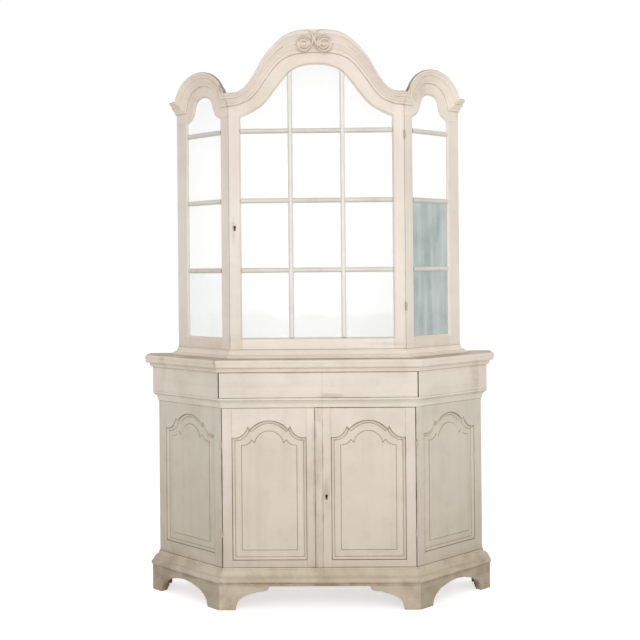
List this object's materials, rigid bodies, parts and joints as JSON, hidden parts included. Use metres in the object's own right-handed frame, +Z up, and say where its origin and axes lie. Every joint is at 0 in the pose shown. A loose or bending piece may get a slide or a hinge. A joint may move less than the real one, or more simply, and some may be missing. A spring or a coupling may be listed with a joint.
{
  "type": "canted display cabinet",
  "caption": "Free-standing display cabinet with canted sides: a panelled cupboard with a drawer, and over it a glazed stage with an arched door and a moulded cornice.",
  "frame": {"origin": "on the floor, in the middle of the width and of the depth", "axes": "+Z up, -Y out of the doors, +X to the right of someone who faces them"},
  "size_m": [1.5384, 0.4612, 2.409],
  "materials": {
    "frame_paint": "aged cream paint on wood, satin, rubbed edges",
    "panel_paint": "aged cream paint on wood, slightly greener and duller than the frames",
    "base_paint": "worn cream paint over brown wood",
    "inside_paint": "chalky off-white paint, faintly blue",
    "bare_wood": "unfinished",
    "window_glass": "clear, slightly wavy",
    "painted_hinge": "iron painted over with the frames",
    "lock_iron": "dark, dull",
    "bolt_brass": "tarnished"
  },
  "bodies": {
    "case": {"back_plinth": "base_paint", "base_moulding": "base_paint", "bed_moulding": "frame_paint", "cant_glazing_bars": "frame_paint", "cant_panes": "window_glass", "case_hinge_leaves": "painted_hinge", "centre_cornice": "frame_paint", "crown_carving": "frame_paint", "cupboard_floor": "inside_paint", "cupboard_shelf": "inside_paint", "display_floor": "inside_paint", "display_shelves": "window_glass", "door_stops": "frame_paint", "drawer_guides": "bare_wood", "dust_board": "bare_wood", "foot_blocks": "bare_wood", "frieze_boards": "frame_paint", "front_head": "frame_paint", "front_plinth": "base_paint", "lower_back": "bare_wood", "lower_cant_frames": "frame_paint", "lower_cant_panels": "panel_paint", "lower_posts": "bare_wood", "lower_sides": "frame_paint", "roof_boards": "inside_paint", "shelf_battens": "inside_paint", "shelf_cleats": "bare_wood", "side_cornices": "frame_paint", "side_plinths": "base_paint", "slab_edging": "frame_paint", "upper_back": "inside_paint", "upper_base_moulding": "frame_paint", "upper_cant_heads": "frame_paint", "upper_cant_rails": "frame_paint", "upper_posts": "frame_paint", "upper_sides": "frame_paint", "waist_moulding": "frame_paint", "waist_slab": "frame_paint"},
    "upper_door": {"upper_door_arched_rail": "frame_paint", "upper_door_bottom_rail": "frame_paint", "upper_door_cross_bars": "frame_paint", "upper_door_hinges": "painted_hinge", "upper_door_lock": "lock_iron", "upper_door_panes": "window_glass", "upper_door_stiles": "frame_paint", "upper_door_upright_bars": "frame_paint"},
    "left_door": {"left_door_frame": "frame_paint", "left_door_hinges": "painted_hinge", "left_door_panel": "panel_paint"},
    "right_door": {"astragal": "frame_paint", "right_door_frame": "frame_paint", "right_door_hinges": "painted_hinge", "right_door_lock": "lock_iron", "right_door_panel": "panel_paint"},
    "drawer": {"drawer_bottom": "bare_wood", "drawer_box": "bare_wood", "drawer_front": "frame_paint"},
    "upper_bolt": {"upper_door_bolt": "bolt_brass"},
    "lower_bolt": {"right_door_bolt": "bolt_brass"}
  },
  "joints": [
    {"name": "upper_door_hinge", "type": "hinge", "parent": "case", "child": "upper_door", "pos_m": [0.372, -0.1285, 1.6], "axis": [0, 0, 1], "range_deg": [0, 110]},
    {"name": "left_door_hinge", "type": "hinge", "parent": "case", "child": "left_door", "pos_m": [-0.407, -0.1785, 0.5], "axis": [0, 0, -1], "range_deg": [0, 120]},
    {"name": "right_door_hinge", "type": "hinge", "parent": "case", "child": "right_door", "pos_m": [0.407, -0.1785, 0.5], "axis": [0, 0, 1], "range_deg": [0, 120]},
    {"name": "drawer_slide", "type": "slide", "parent": "case", "child": "drawer", "axis": [0, -1, 0], "range_m": [0, 0.28]},
    {"name": "upper_bolt_slide", "type": "slide", "parent": "upper_door", "child": "upper_bolt", "axis": [-1, 0, 0], "range_m": [0, 0.012]},
    {"name": "lower_bolt_slide", "type": "slide", "parent": "right_door", "child": "lower_bolt", "axis": [-1, 0, 0], "range_m": [0, 0.012]}
  ]
}
